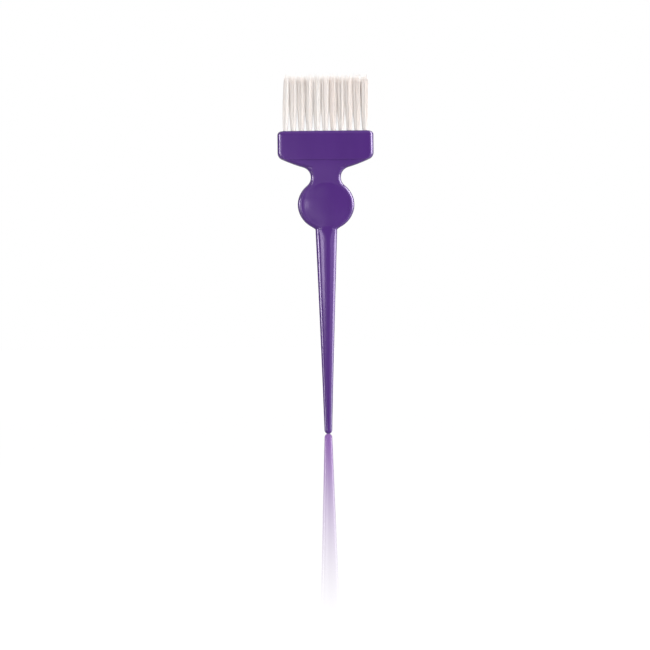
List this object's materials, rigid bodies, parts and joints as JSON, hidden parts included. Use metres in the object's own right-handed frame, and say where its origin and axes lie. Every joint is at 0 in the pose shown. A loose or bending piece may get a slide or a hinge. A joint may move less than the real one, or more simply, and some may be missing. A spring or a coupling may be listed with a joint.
{
  "type": "tint brush",
  "caption": "Hair tint brush: flat head with nylon bristle tufts pinned in two rows, waisted neck, round thumb disc and long tapered tail.",
  "frame": {"origin": "tip of the tail, on the brush's long axis: the middle of the base of its box when it stands on its tail", "axes": "+Z along the brush, from the tail's tip to the bristles; X across the head; Y through the head's thickness, with the front row of tufts towards -Y"},
  "size_m": [0.0576, 0.01, 0.2156],
  "materials": {
    "handle_plastic": "gloss purple injection moulding",
    "bristle": "fine translucent off-white nylon filament",
    "anchor_wire": "flat rolled wire"
  },
  "bodies": {
    "root": {"handle": "handle_plastic", "tuft_front_01": "bristle", "tuft_front_02": "bristle", "tuft_front_03": "bristle", "tuft_front_04": "bristle", "tuft_front_05": "bristle", "tuft_front_06": "bristle", "tuft_front_07": "bristle", "tuft_front_08": "bristle", "tuft_front_09": "bristle", "tuft_front_10": "bristle", "tuft_front_11": "bristle", "tuft_rear_01": "bristle", "tuft_rear_02": "bristle", "tuft_rear_03": "bristle", "tuft_rear_04": "bristle", "tuft_rear_05": "bristle", "tuft_rear_06": "bristle", "tuft_rear_07": "bristle", "tuft_rear_08": "bristle", "tuft_rear_09": "bristle", "tuft_rear_10": "bristle", "tuft_rear_11": "bristle", "anchor_front_01": "anchor_wire", "anchor_front_02": "anchor_wire", "anchor_front_03": "anchor_wire", "anchor_front_04": "anchor_wire", "anchor_front_05": "anchor_wire", "anchor_front_06": "anchor_wire", "anchor_front_07": "anchor_wire", "anchor_front_08": "anchor_wire", "anchor_front_09": "anchor_wire", "anchor_front_10": "anchor_wire", "anchor_front_11": "anchor_wire", "anchor_rear_01": "anchor_wire", "anchor_rear_02": "anchor_wire", "anchor_rear_03": "anchor_wire", "anchor_rear_04": "anchor_wire", "anchor_rear_05": "anchor_wire", "anchor_rear_06": "anchor_wire", "anchor_rear_07": "anchor_wire", "anchor_rear_08": "anchor_wire", "anchor_rear_09": "anchor_wire", "anchor_rear_10": "anchor_wire", "anchor_rear_11": "anchor_wire"}
  },
  "joints": []
}
